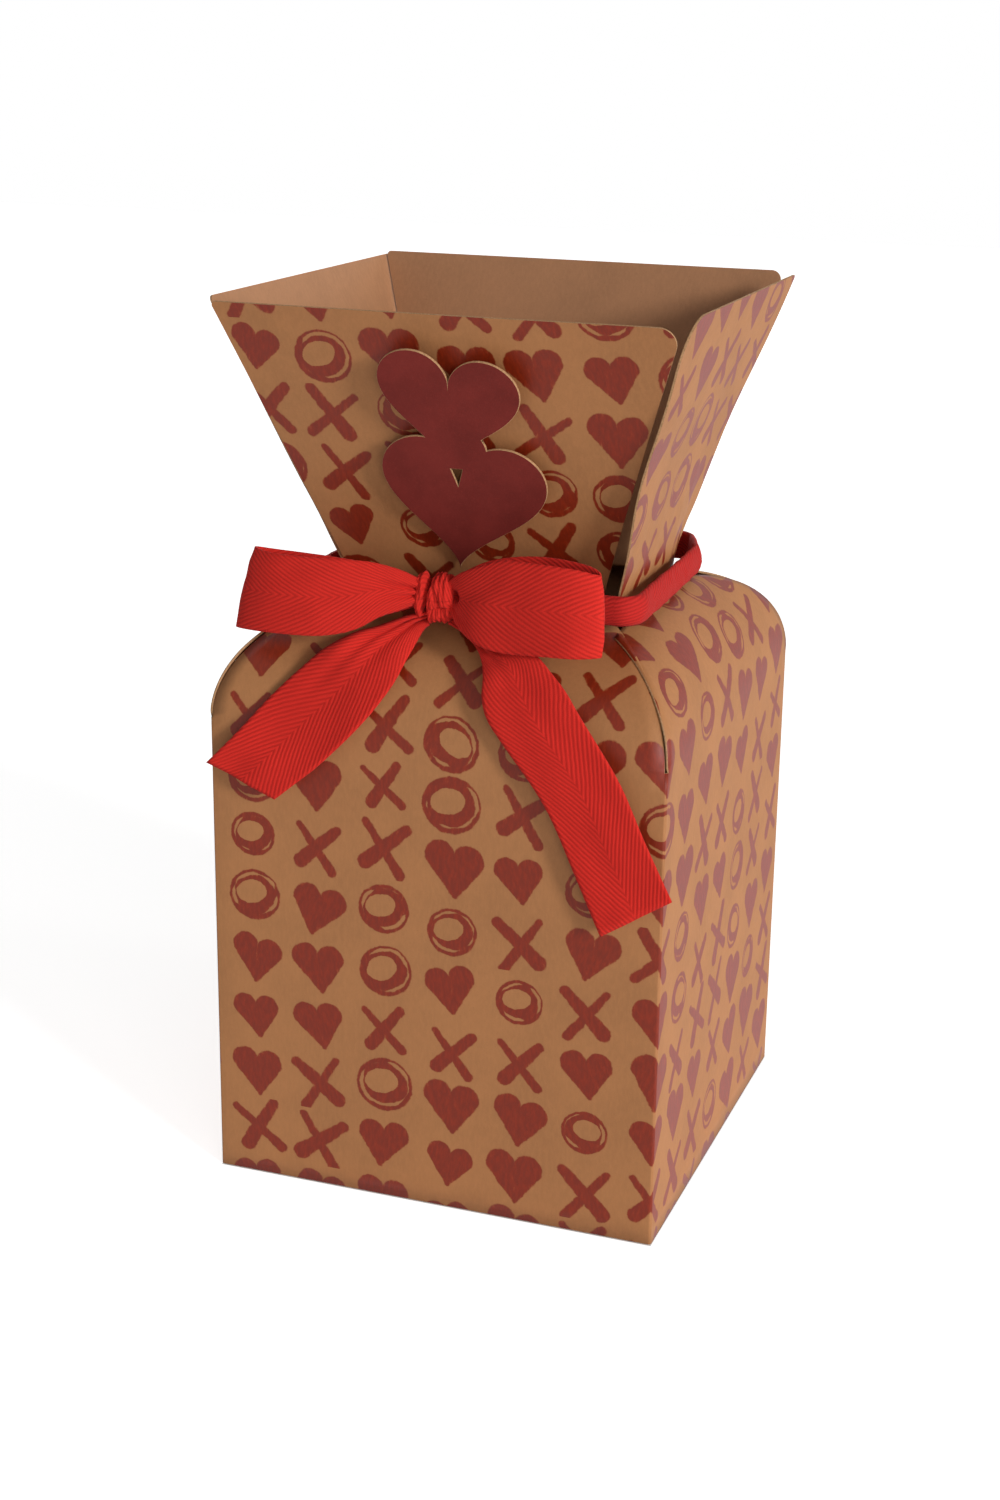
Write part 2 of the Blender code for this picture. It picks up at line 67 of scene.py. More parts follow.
CAMERA_ROLL = 0.776
CAMERA_DISTANCE = 0.7365
CAMERA_TARGET = Vector((-0.00434, 0, 0.12314))
CAMERA_LENS = 56.06
CAMERA_SENSOR = 36.0

# Card: each wall runs on without a crease into a shoulder, a quarter ellipse
CARD = 0.0006
CARD_GAP = 0.0003
SLIT_HEIGHT = 0.146
SHOULDER_TURN = math.radians(80)
SIDES = ("front", "right", "back", "left")

# Print: hearts, crosses and rings in a loose grid
PRINT_PITCH = Vector((0.0212, 0.0190))
PRINT_START = Vector((0.0023, 0.0051))
MOTIF_SIZE = 0.0102

# Tape
TAPE_WIDTH = 0.025
TAPE_THICKNESS = 0.0005
TWILL_PITCH = 0.00122
YARN_PITCH = 0.00062
TWILL_ANGLE = math.radians(28)

# Colours as they are seen, in sRGB from 0 to 255
KRAFT = (164, 111, 68)
KRAFT_INSIDE = (166, 119, 84)
# The cut edge's colour: pale pulp, and partly a painted highlight of the edge catching the light
KRAFT_CUT_AND_HIGHLIGHT = (184, 142, 102)
INK = (120, 32, 4)
TAPE_RED = (205, 43, 35)
# The neck band's tape red, darkened as painted shade of the folds in the gathered band
TAPE_RED_PAINTED_SHADE = (182, 38, 34)
TAG_RED = (116, 41, 36)
FLOOR = (250, 250, 250)


def linear(colour, gain=1.0):
    """A colour as Blender's nodes want it."""
    made = []
    for value in colour:
        share = value / 255
        made.append(gain * (share / 12.92 if share <= 0.04045 else ((share + 0.055) / 1.055) ** 2.4))
    return (*made, 1.0)


# Small helpers for node trees

def node(tree, kind, inputs=(), **settings):
    """Adds a node, and sets or links its inputs: pairs of an input's name or number and a value."""
    made = tree.nodes.new(kind)
    for name, value in settings.items():
        setattr(made, name, value)
    for key, value in inputs:
        socket = made.inputs[key]
        if isinstance(value, bpy.types.NodeSocket):
            tree.links.new(value, socket)
        else:
            socket.default_value = value
    return made


def maths(tree, operation, *values, clamp=False):
    made = node(tree, "ShaderNodeMath", enumerate(values), operation=operation, use_clamp=clamp)
    return made.outputs[0]


def vectors(tree, operation, *values, scale=None, out="Vector"):
    made = node(tree, "ShaderNodeVectorMath", enumerate(values), operation=operation)
    if scale is not None:
        if isinstance(scale, bpy.types.NodeSocket):
            tree.links.new(scale, made.inputs["Scale"])
        else:
            made.inputs["Scale"].default_value = scale
    return made.outputs[out]


def mix_colours(tree, share, first, second):
    made = node(tree, "ShaderNodeMix", data_type="RGBA")
    for key, value in ((0, share), (6, first), (7, second)):
        if isinstance(value, bpy.types.NodeSocket):
            tree.links.new(value, made.inputs[key])
        else:
            made.inputs[key].default_value = value
    return made.outputs[2]


def ramp(tree, value, low, high, start=0.0, end=1.0, smooth=True):
    kind = "SMOOTHSTEP" if smooth else "LINEAR"
    pairs = (("Value", value), ("From Min", low), ("From Max", high), ("To Min", start), ("To Max", end))
    return node(tree, "ShaderNodeMapRange", pairs, interpolation_type=kind).outputs[0]


def noise_at(tree, place, scale, detail=2.0, roughness=0.5, colour=False):
    pairs = (("Vector", place), ("Scale", scale), ("Detail", detail), ("Roughness", roughness))
    made = node(tree, "ShaderNodeTexNoise", pairs)
    return made.outputs["Color" if colour else 0]


def new_material(name, roughness, specular=0.5):
    made = bpy.data.materials.new(name)
    made.use_nodes = True
    shader = made.node_tree.nodes["Principled BSDF"]
    shader.inputs["Roughness"].default_value = roughness
    shader.inputs["Specular IOR Level"].default_value = specular
    return made, made.node_tree, shader


def bump(tree, shader, height, distance, strength=1.0):
    pairs = (("Height", height), ("Distance", distance), ("Strength", strength))
    made = node(tree, "ShaderNodeBump", pairs)
    tree.links.new(made.outputs[0], shader.inputs["Normal"])


# Card

def kraft_colour(tree, place, colour):
    """Kraft paper: clouds of pulp, fine fibres in all directions and a few dark specks."""
    clouds = noise_at(tree, place, 45.0, 4.0, 0.6)
    fibres = noise_at(tree, vectors(tree, "MULTIPLY", place, (1.0, 1.0, 0.35)), 900.0, 3.0, 0.7)
    grain = noise_at(tree, place, 2600.0, 2.0, 0.6)
    base = mix_colours(tree, ramp(tree, clouds, 0.32, 0.68), linear(colour, 0.93), linear(colour, 1.06))
    base = mix_colours(tree, ramp(tree, fibres, 0.35, 0.72, 0.0, 0.30), base, linear(colour, 1.30))
    base = mix_colours(tree, ramp(tree, grain, 0.58, 0.75, 0.0, 0.35), base, linear(colour, 0.66))
    height = maths(tree, "ADD", fibres, maths(tree, "MULTIPLY", grain, 0.5))
    return base, height


def stroke(tree, place, start, end, start_radius, end_radius):
    """Distance to a brush stroke, a tapered bar with round ends."""
    start, end = Vector((*start, 0)), Vector((*end, 0))
    run = end - start
    offset = vectors(tree, "SUBTRACT", place, start)
    along = vectors(tree, "DOT_PRODUCT", offset, run / run.length_squared, out="Value")
    along = maths(tree, "MAXIMUM", maths(tree, "MINIMUM", along, 1.0), 0.0)
    off = vectors(tree, "SUBTRACT", offset, vectors(tree, "SCALE", tuple(run), scale=along))
    radius = maths(tree, "MULTIPLY_ADD", along, end_radius - start_radius, start_radius)
    return maths(tree, "SUBTRACT", vectors(tree, "LENGTH", off, out="Value"), radius)


def oval(tree, place, middle, halves):
    """How far outside an oval a place is, in shares of its size."""
    offset = vectors(tree, "SUBTRACT", place, (*middle, 0))
    scaled = vectors(tree, "DIVIDE", offset, (*halves, 1))
    return maths(tree, "SUBTRACT", vectors(tree, "LENGTH", scaled, out="Value"), 1.0)


def print_mask(tree, place):
    """How much ink lies at a place on the sheet, and how dry the brush is there.

    Each cell of the grid has a painted heart, cross or ring."""
    spot = vectors(tree, "SUBTRACT", place, (*PRINT_START, 0))
    spot = vectors(tree, "DIVIDE", spot, (*PRINT_PITCH, 1))
    column = node(tree, "ShaderNodeSeparateXYZ", [(0, vectors(tree, "FLOOR", spot))]).outputs[0]
    pairs = [("W", maths(tree, "ADD", column, 3.4))]
    shift = node(tree, "ShaderNodeTexWhiteNoise", pairs, noise_dimensions="1D").outputs["Value"]
    lift = maths(tree, "MULTIPLY", maths(tree, "SUBTRACT", shift, 0.5), 0.30)
    spot = vectors(tree, "ADD", spot, node(tree, "ShaderNodeCombineXYZ", [(1, lift)]).outputs[0])
    cell = vectors(tree, "FLOOR", spot)
    chance = node(tree, "ShaderNodeTexWhiteNoise", [("Vector", cell)], noise_dimensions="3D")
    which = node(tree, "ShaderNodeSeparateColor", [(0, chance.outputs["Color"])]).outputs
    other_cell = vectors(tree, "ADD", cell, (17.3, 5.1, 2.0))
    other = node(tree, "ShaderNodeTexWhiteNoise", [("Vector", other_cell)], noise_dimensions="3D")
    more = node(tree, "ShaderNodeSeparateColor", [(0, other.outputs["Color"])]).outputs

    local = vectors(tree, "SUBTRACT", vectors(tree, "FRACTION", spot), (0.5, 0.5, 0))
    local = vectors(tree, "MULTIPLY", local, (*(PRINT_PITCH / MOTIF_SIZE), 0))
    drift = vectors(tree, "SUBTRACT", other.outputs["Color"], (0.5, 0.5, 0.5))
    local = vectors(tree, "ADD", local, vectors(tree, "MULTIPLY", drift, (0.16, 0.16, 0)))
    angle = maths(tree, "MULTIPLY", maths(tree, "SUBTRACT", which[1], 0.5), 0.45)
    pairs = [("Vector", local), ("Angle", angle)]
    local = node(tree, "ShaderNodeVectorRotate", pairs, rotation_type="Z_AXIS").outputs[0]
    size = maths(tree, "MULTIPLY_ADD", which[2], 0.22, 0.80)
    local = vectors(tree, "DIVIDE", local, node(tree, "ShaderNodeCombineXYZ",
                                                [(0, size), (1, size), (2, 1.0)]).outputs[0])
    flip = maths(tree, "SIGN", maths(tree, "SUBTRACT", more[2], 0.35))
    flip = node(tree, "ShaderNodeCombineXYZ", [(0, flip), (1, 1.0), (2, 0.0)]).outputs[0]
    ragged = noise_at(tree, place, 330.0, 4.0, 0.65, colour=True)
    ragged = vectors(tree, "SUBTRACT", ragged, (0.5, 0.5, 0.5))
    local = vectors(tree, "ADD", local, vectors(tree, "MULTIPLY", ragged, (0.14, 0.14, 0)))
    flipped = vectors(tree, "MULTIPLY", local, flip)

    heart = maths(
        tree, "MINIMUM",
        stroke(tree, flipped, (0.05, -0.80), (-0.43, 0.34), 0.10, 0.47),
        stroke(tree, flipped, (0.05, -0.82), (0.42, 0.27), 0.10, 0.48),
    )
    cross = maths(
        tree, "MINIMUM",
        stroke(tree, flipped, (-0.64, 0.66), (0.66, -0.74), 0.13, 0.18),
        stroke(tree, flipped, (0.66, 0.70), (-0.46, -0.58), 0.18, 0.26),
    )
    pairs = [("Vector", flipped), ("Angle", -0.35)]
    tilted = node(tree, "ShaderNodeVectorRotate", pairs, rotation_type="Z_AXIS").outputs[0]
    rim = oval(tree, tilted, (0, 0), (0.88, 0.84))
    hollow = oval(tree, tilted, (-0.08, 0.12), (0.52, 0.38))
    ring = maths(tree, "MAXIMUM", rim, maths(tree, "MULTIPLY", hollow, -1.0))
    gap = maths(tree, "ABSOLUTE", oval(tree, tilted, (0.02, 0.02), (0.74, 0.67)))
    patches = noise_at(tree, vectors(tree, "ADD", tilted, cell), 1.1, 1.0)
    reach = ramp(tree, patches, 0.40, 0.62, 0.07, -0.05)
    ring = maths(tree, "MAXIMUM", ring, maths(tree, "SUBTRACT", reach, gap))

    is_cross = maths(tree, "GREATER_THAN", which[0], 0.44)
    is_ring = maths(tree, "GREATER_THAN", which[0], 0.74)
    shape = node(tree, "ShaderNodeMix", [("Factor", is_cross), ("A", heart), ("B", cross)]).outputs[0]
    shape = node(tree, "ShaderNodeMix", [("Factor", is_ring), ("A", shape), ("B", ring)]).outputs[0]

    # Bristles: the paint thins in streaks along the strokes, and at their edges
    streaks = vectors(tree, "MULTIPLY", flipped, (7.0, 2.0, 0))
    pairs = [("Vector", streaks), ("Angle", 0.7)]
    streaks = node(tree, "ShaderNodeVectorRotate", pairs, rotation_type="Z_AXIS").outputs[0]
    streaks = vectors(tree, "ADD", streaks, vectors(tree, "SCALE", cell, scale=3.7))
    dry = noise_at(tree, streaks, 1.4, 3.0, 0.65)
    edge = ramp(tree, shape, -0.16, 0.02, 0.0, 0.5)
    thin = ramp(tree, maths(tree, "ADD", dry, maths(tree, "MULTIPLY", edge, 0.32)), 0.66, 0.90, 0.0, 0.40)
    cover = ramp(tree, shape, -0.035, 0.02, 1.0, 0.0)
    return maths(tree, "MULTIPLY", cover, maths(tree, "SUBTRACT", 1.0, thin)), dry


def printed_kraft():
    """The outside of the sheet. The ink is glossier than the card, so it pales at a shallow angle."""
    made, tree, shader = new_material("printed_kraft", 0.5, 0.36)
    place = node(tree, "ShaderNodeTexCoord").outputs["Object"]
    sheet = node(tree, "ShaderNodeUVMap", uv_map="sheet").outputs[0]
    base, height = kraft_colour(tree, place, KRAFT)
    ink, dry = print_mask(tree, sheet)
    ink_colour = mix_colours(tree, ramp(tree, dry, 0.35, 0.7), linear(INK, 0.90), linear(INK, 1.22))
    colour = mix_colours(tree, ink, base, ink_colour)
    tree.links.new(colour, shader.inputs["Base Color"])
    gloss = ramp(tree, ink, 0.0, 1.0, 0.68, 0.48, smooth=False)
    tree.links.new(gloss, shader.inputs["Roughness"])
    bump(tree, shader, height, 0.00006, 0.5)
    return made


def plain_kraft(name, colour):
    """The inside of the sheet, which isn't printed."""
    made, tree, shader = new_material(name, 0.62, 0.35)
    place = node(tree, "ShaderNodeTexCoord").outputs["Object"]
    base, height = kraft_colour(tree, place, colour)
    tree.links.new(base, shader.inputs["Base Color"])
    bump(tree, shader, height, 0.00008, 0.5)
    return made


def cut_edge(name, colour):
    """The cut through the card: layers of pale pulp, made paler still by a painted highlight where the
    edge catches the light.
    """
    made, tree, shader = new_material(name, 0.8, 0.2)
    place = node(tree, "ShaderNodeTexCoord").outputs["Object"]
    layers = noise_at(tree, place, 1700.0, 2.0, 0.5)
    base = mix_colours(tree, ramp(tree, layers, 0.35, 0.65), linear(colour, 0.72), linear(colour, 1.0))
    tree.links.new(base, shader.inputs["Base Color"])
    bump(tree, shader, layers, 0.00012, 0.6)
    return made


def tag_board():
    made, tree, shader = new_material("tag_board", 0.6, 0.12)
    place = node(tree, "ShaderNodeTexCoord").outputs["Object"]
    clouds = noise_at(tree, place, 70.0, 4.0, 0.6)
    grain = noise_at(tree, place, 1500.0, 3.0, 0.65)
    base = mix_colours(tree, ramp(tree, clouds, 0.3, 0.7), linear(TAG_RED, 0.86), linear(TAG_RED, 1.12))
    base = mix_colours(tree, ramp(tree, grain, 0.5, 0.8, 0.0, 0.35), base, linear(TAG_RED, 1.6))
    tree.links.new(base, shader.inputs["Base Color"])
    bump(tree, shader, grain, 0.00008, 0.5)
    return made


def twill(name, red):
    """Herringbone twill: ribs that run out from the middle line, each twisted from single yarns, with
    painted shade in the grooves between the ribs.
    """
    made, tree, shader = new_material(name, 0.8, 0.08)
    shader.inputs["Sheen Weight"].default_value = 0.03
    shader.inputs["Sheen Roughness"].default_value = 0.5
    sheet = node(tree, "ShaderNodeUVMap", uv_map="tape").outputs[0]
    warped = noise_at(tree, sheet, 300.0, 2.0, 0.5, colour=True)
    warped = vectors(tree, "SCALE", vectors(tree, "SUBTRACT", warped, (0.5, 0.5, 0.5)), scale=0.0004)
    parts = node(tree, "ShaderNodeSeparateXYZ", [(0, vectors(tree, "ADD", sheet, warped))]).outputs
    across, along = maths(tree, "ABSOLUTE", parts[0]), parts[1]
    turn = 2 * math.pi / TWILL_PITCH
    over = maths(tree, "MULTIPLY", across, turn * math.cos(TWILL_ANGLE))
    phase = maths(tree, "MULTIPLY_ADD", along, turn * math.sin(TWILL_ANGLE), over)
    rib = maths(tree, "MULTIPLY_ADD", maths(tree, "SINE", phase), 0.5, 0.5)
    half_phase = maths(tree, "MULTIPLY", phase, 0.5)
    yarn_phase = maths(tree, "MULTIPLY_ADD", along, 2 * math.pi / YARN_PITCH, half_phase)
    yarn = maths(tree, "MULTIPLY_ADD", maths(tree, "SINE", yarn_phase), 0.5, 0.5)
    fuzz = noise_at(tree, sheet, 3200.0, 2.0, 0.6)
    cloud = noise_at(tree, sheet, 120.0, 3.0, 0.6)
    height = maths(tree, "MULTIPLY_ADD", yarn, 0.22, rib)
    height = maths(tree, "MULTIPLY_ADD", fuzz, 0.35, height)
    # Painted shade and highlight: the grooves between the ribs are darker and the ribs' crests lighter
    base = mix_colours(tree, ramp(tree, rib, 0.0, 0.8), linear(red, 0.76), linear(red, 1.06))
    base = mix_colours(tree, ramp(tree, cloud, 0.35, 0.7, 0.0, 0.5), base, linear(red, 0.88))
    base = mix_colours(tree, ramp(tree, fuzz, 0.52, 0.76, 0.0, 0.4), base, linear(red, 1.32))
    tree.links.new(base, shader.inputs["Base Color"])
    bump(tree, shader, height, 0.00018, 0.6)
    return made


# Geometry of the sheet of card, read from the solids

def turned(side):
    """Rotation that carries the front panel's frame to the named side."""
    return Matrix.Rotation(SIDES.index(side) * math.pi / 2, 4, "Z")


def neighbour(side, way):
    step = {"left": -1, "right": 1}[way]
    return SIDES[(SIDES.index(side) + step) % len(SIDES)]


def neck_edge(side):
    """The top edge of a wall's outer face: how far out, how far left and right, and how high."""
    unturn = turned(side).inverted()
    points = [unturn @ v.co for v in frame["nodes"][f"{side}_wall"].data.vertices]
    top = max(point.z for point in points)
    edge = [point for point in points if point.z > top - CARD / 10]
    return {
        "out": -edge[0].y,
        "left": -min(point.x for point in edge),
        "right": max(point.x for point in edge),
        "height": top,
    }


BODY_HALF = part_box("front_wall")[1].x
NECKS = {side: neck_edge(side) for side in SIDES}


def is_outer(side):
    return side in ("right", "left")


def shoulder_halves(side):
    """The two half axes of a shoulder's ellipse: across and up."""
    neck = NECKS[side]
    across = (BODY_HALF - neck["out"]) / (1 - math.cos(SHOULDER_TURN))
    return across, (neck["height"] - SLIT_HEIGHT) / math.sin(SHOULDER_TURN)


def shoulder(side, turn):
    """Distance from the middle, and height, on a shoulder's quarter ellipse."""
    across, up = shoulder_halves(side)
    return BODY_HALF - across * (1 - math.cos(turn)), SLIT_HEIGHT + up * math.sin(turn)


# Where two shoulders cross, the outer one's edge lies on its neighbour: how far its edge stays inside the
# body's side, the room under the edge, and the width over which it comes down
LAP_START = 0.0002
LAP_GAP = 0.0005
LAP_WIDTH = 0.045


def shoulder_reach(side, way, turn):
    """How far a shoulder reaches to one side: past its neighbour's card, or inside it."""
    share = turn / SHOULDER_TURN
    reach = NECKS[side][way]
    next_side = neighbour(side, way)
    next_neck_out = NECKS[next_side]["out"]
    next_out = shoulder(next_side, turn)[0]
    if is_outer(side):
        return min(next_out + (reach - next_neck_out) * share**2, BODY_HALF - LAP_START)
    tuck = next_neck_out - (CARD + CARD_GAP) - reach
    return next_out - (CARD + CARD_GAP) - tuck * share**2


def lap(side, way, turn):
    """How far a shoulder's edge comes down, where it stands past its neighbour, to lie on it."""
    reach = shoulder_reach(side, way, turn)
    if reach <= shoulder(neighbour(side, way), turn)[0]:
        return 0.0
    across, up = shoulder_halves(neighbour(side, way))
    below = math.acos(1 - (BODY_HALF - reach) / across)
    normal = Vector((up * math.cos(below), across * math.sin(below))).normalized()
    height = SLIT_HEIGHT + up * math.sin(below)
    return max(0.0, shoulder(side, turn)[1] - height - LAP_GAP / normal.y)


def arc_length(side):
    """Length along the card from the base to a wall's neck edge."""
    steps = 200
    length = SLIT_HEIGHT
    before = shoulder(side, 0)
    for k in range(1, steps + 1):
        after = shoulder(side, SHOULDER_TURN * k / steps)
        length += math.dist(before, after)
        before = after
    return length


def sheet_start(side):
    """Where a side's middle lies on the flat sheet."""
    return (SIDES.index(side) + 0.5) * 2 * BODY_HALF


def grid_object(name, rows, coordinates, layer, materials, closed=False):
    """A mesh through rows of points, with a UV layer of places on the flat sheet or tape."""
    mesh = bpy.data.meshes.new(name)
    shell = bmesh.new()
    uv = shell.loops.layers.uv.new(layer)
    grid = [[shell.verts.new(point) for point in row] for row in rows]
    count = len(rows)
    spans = list(zip(range(count - 1), range(1, count)))
    if closed:
        spans.append((count - 1, 0))
    for low, high in spans:
        high_row = high if high > low else count
        for i in range(len(rows[0]) - 1):
            corners = ((low, i), (low, i + 1), (high, i + 1), (high, i))
            places = ((low, i), (low, i + 1), (high_row, i + 1), (high_row, i))
            face = shell.faces.new([grid[a][b] for a, b in corners])
            for loop, (a, b) in zip(face.loops, places):
                loop[uv].uv = coordinates[a][b]
    shell.to_mesh(mesh)
    shell.free()
    mesh.shade_smooth()
    obj = bpy.data.objects.new(name, mesh)
    bpy.context.scene.collection.objects.link(obj)
    for material in materials:
        mesh.materials.append(material)
    return obj


def thicken(obj, thickness, offset=-1.0, inner=0, rim=0, even=True):
    solid = obj.modifiers.new("Thickness", "SOLIDIFY")
    solid.thickness = thickness
    solid.offset = offset
    solid.use_even_offset = even
    solid.material_offset = inner
    solid.material_offset_rim = rim
    return solid


# Walls: steps round a folded edge, columns and rows, and the depth of the card's slight waves
FOLD_STEPS = 4
WALL_COLUMNS = 28
WALL_ROWS = 24
SHOULDER_ROWS = 26
WALL_WAVE = 0.00022


def wall(side, materials):
    """One wall with its shoulder. Below the slits its edges are folded round into its neighbours."""
    fold = CARD + CARD_GAP
    flat_half = BODY_HALF - fold
    middle = sheet_start(side)
    rows, coordinates = [], []
    for k in range(WALL_ROWS + 1):
        height = SLIT_HEIGHT * k / WALL_ROWS
        row, line = [], []
        arc = []
        for j in range(FOLD_STEPS):
            turn = math.pi / 4 * (1 - j / FOLD_STEPS)
            x = flat_half + fold * math.sin(turn)
            arc.append((x, flat_half + fold * math.cos(turn), flat_half + fold * turn))
        for x, out, reach in arc:
            row.append(Vector((-x, -out, height)))
            line.append((middle - reach, height))
        for i in range(WALL_COLUMNS + 1):
            x = flat_half * (2 * i / WALL_COLUMNS - 1)
            ease = math.sin(math.pi * i / WALL_COLUMNS) * math.sin(math.pi * k / WALL_ROWS)
            wave = noise.noise(Vector((x * 22, height * 16, SIDES.index(side) * 3.1)))
            row.append(Vector((x, -BODY_HALF + WALL_WAVE * ease * wave, height)))
            line.append((middle + x, height))
        for x, out, reach in reversed(arc):
            row.append(Vector((x, -out, height)))
            line.append((middle + reach, height))
        rows.append(row)
        coordinates.append(line)
    lower = grid_object(f"{side}_panel", rows, coordinates, "sheet", materials)
    if side != "front":
        lower = join(lower, base_crease(side, rows[0], coordinates[0], materials))

    rows, coordinates = [rows[-1][FOLD_STEPS:-FOLD_STEPS]], [coordinates[-1][FOLD_STEPS:-FOLD_STEPS]]
    length = SLIT_HEIGHT
    before = shoulder(side, 0)
    for k in range(1, SHOULDER_ROWS + 1):
        turn = SHOULDER_TURN * k / SHOULDER_ROWS
        out, height = shoulder(side, turn)
        length += math.dist(before, (out, height))
        before = (out, height)
        left = shoulder_reach(side, "left", turn)
        right = shoulder_reach(side, "right", turn)
        left_lap, right_lap = lap(side, "left", turn), lap(side, "right", turn)
        row, line = [], []
        for i in range(WALL_COLUMNS + 1):
            x = -left + (left + right) * i / WALL_COLUMNS
            drop = left_lap * max(0, 1 - (left + x) / LAP_WIDTH) ** 2
            drop += right_lap * max(0, 1 - (right - x) / LAP_WIDTH) ** 2
            row.append(Vector((x, -out, height - drop)))
            line.append((middle + x, length))
        rows.append(row)
        coordinates.append(line)
    upper = grid_object(f"{side}_shoulder", rows, coordinates, "sheet", materials)
    joined = join(lower, upper)
    thicken(joined, CARD, inner=1, rim=2)
    joined.matrix_world = turned(side)
    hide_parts(f"{side}_wall")
    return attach(joined, "body")


def base_crease(side, foot, places, materials):
    """The card's turn from a wall's foot to the edge of its base flap."""
    low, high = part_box(f"base_flap_{side}")
    edge = high.y if side == "back" else high.x if side == "right" else -low.x
    reach = high.x if side == "back" else high.y
    kept = [k for k, point in enumerate(foot) if abs(point.x) <= reach]
    rows, coordinates = [], []
    for out, height in ((edge, low.z), (BODY_HALF - CARD, low.z / 4), (BODY_HALF, 0)):
        rows.append([Vector((foot[k].x, -out, height)) for k in kept])
        coordinates.append([(places[k][0], out - BODY_HALF) for k in kept])
    return grid_object(f"{side}_base_crease", rows, coordinates, "sheet", materials)


def join(first, second):
    """Joins two meshes, and welds them where they meet."""
    mesh = first.data
    shell = bmesh.new()
    shell.from_mesh(mesh)
    shell.from_mesh(second.data)
    bmesh.ops.remove_doubles(shell, verts=shell.verts, dist=1e-6)
    shell.to_mesh(mesh)
    shell.free()
    bpy.data.objects.remove(second)
    return first


# Collar: its cells, how far its foot reaches over the crease, and how far the front panel's right edge
# is drawn in at the neck
COLLAR_CELL = 0.004
CREASE_LAP = 0.0002
FRONT_NIP = 0.0026


def collar(side, materials):
    """A collar panel: the solid's own outline, cut into a fine grid, with soft dimples at the neck."""
    source = frame["nodes"][f"collar_{side}"]
    unturn = turned(side).inverted()
    shell = bmesh.new()
    shell.from_mesh(source.data)
    bmesh.ops.remove_doubles(shell, verts=shell.verts, dist=1e-6)
    bmesh.ops.dissolve_limit(shell, angle_limit=0.01, verts=shell.verts, edges=shell.edges)
    bmesh.ops.transform(shell, matrix=unturn, verts=shell.verts)
    outer = max((face for face in shell.faces if face.normal.y < 0), key=lambda face: face.calc_area())
    normal = outer.normal.copy()
    up = Vector((1, 0, 0)).cross(normal)
    if up.z < 0:
        up.negate()
    foot = min(outer.verts, key=lambda vert: vert.co.z).co.copy()
    start = NECKS[side]
    crease = Vector((0, -start["out"], start["height"]))
    width = max(abs(vert.co.x) for vert in shell.verts)
    height = max((vert.co - foot).dot(up) for vert in shell.verts)

    def cut(point, direction):
        geometry = list(shell.verts) + list(shell.edges) + list(shell.faces)
        bmesh.ops.bisect_plane(shell, geom=geometry, plane_co=point, plane_no=direction)

    for k in range(1, int(height / COLLAR_CELL) + 1):
        cut(foot + up * k * COLLAR_CELL, up)
    for k in range(-int(width / COLLAR_CELL), int(width / COLLAR_CELL) + 1):
        cut(Vector((k * COLLAR_CELL, 0, 0)), Vector((1, 0, 0)))

    uv = shell.loops.layers.uv.get("sheet") or shell.loops.layers.uv.new("sheet")
    base = arc_length(side)
    for face in shell.faces:
        facing = face.normal.dot(normal)
        face.material_index = 0 if facing > 0.5 else 1 if facing < -0.5 else 2
        face.smooth = True
        for loop in face.loops:
            place = loop.vert.co
            loop[uv].uv = (sheet_start(side) + place.x, base + (place - crease).dot(up))
    for vert in shell.verts:
        if (vert.co - foot).dot(up) < CARD / 10:
            vert.co -= up * ((foot - crease).dot(up) + CREASE_LAP)
    for vert in shell.verts:
        if side == "front" and vert.co.x > 0:
            low = 1 - (vert.co - crease).dot(up) / height
            vert.co.x -= FRONT_NIP * vert.co.x / start["right"] * low
        vert.co += normal * collar_relief(side, vert.co.x, (vert.co - crease).dot(up), height)
    mesh = bpy.data.meshes.new(f"collar_panel_{side}")
    shell.to_mesh(mesh)
    shell.free()
    mesh.set_sharp_from_angle(angle=math.radians(50))
    for material in materials:
        mesh.materials.append(material)
    obj = bpy.data.objects.new(f"collar_panel_{side}", mesh)
    bpy.context.scene.collection.objects.link(obj)
    obj.matrix_world = turned(side)
    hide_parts(f"collar_{side}")
    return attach(obj, f"{side}_collar")


DIMPLE_DEPTH = 0.0005
DIMPLE_PITCH = 0.011
DIMPLE_HEIGHT = 0.018

# The right collar panel is hollow in profile, more so towards its back edge, which the tape draws in
HOLLOW_FRONT = (0.0020, 0.45, 0.22)
HOLLOW_BACK = (0.0031, 0.46, 0.34)
CURL_DEPTH = 0.0022
CURL_WIDTH = 0.014


def bell(value, middle, width):
    return math.exp(-((value - middle) / width) ** 2)


def collar_relief(side, x, up, height):
    """How far the card stands off its plane: drawn in by the tape at the neck, and a slight wave."""
    fade = bell(up, DIMPLE_HEIGHT * 0.8, DIMPLE_HEIGHT)
    depth = DIMPLE_DEPTH if is_outer(side) else DIMPLE_DEPTH * 0.3
    dimple = -depth * fade * (0.5 + 0.5 * math.cos(2 * math.pi * x / DIMPLE_PITCH + 0.8))
    wave = noise.noise(Vector((x * 18, up * 18, SIDES.index(side) * 5.3))) * 0.0003
    relief = dimple + wave * min(up / 0.03, 1)
    if side == "right":
        share = up / height
        left, right = NECKS[side]["left"], NECKS[side]["right"]
        across = min(max((x + left) / (left + right), 0), 1)
        for weight, (deep, middle, width) in ((1 - across, HOLLOW_FRONT), (across, HOLLOW_BACK)):
            relief -= weight * deep * bell(share, middle, width)
        curl = min(max((x - right + CURL_WIDTH) / CURL_WIDTH, 0), 1)
        relief -= CURL_DEPTH * curl**2 * bell(share, 0.12, 0.14)
    return relief


# Tape

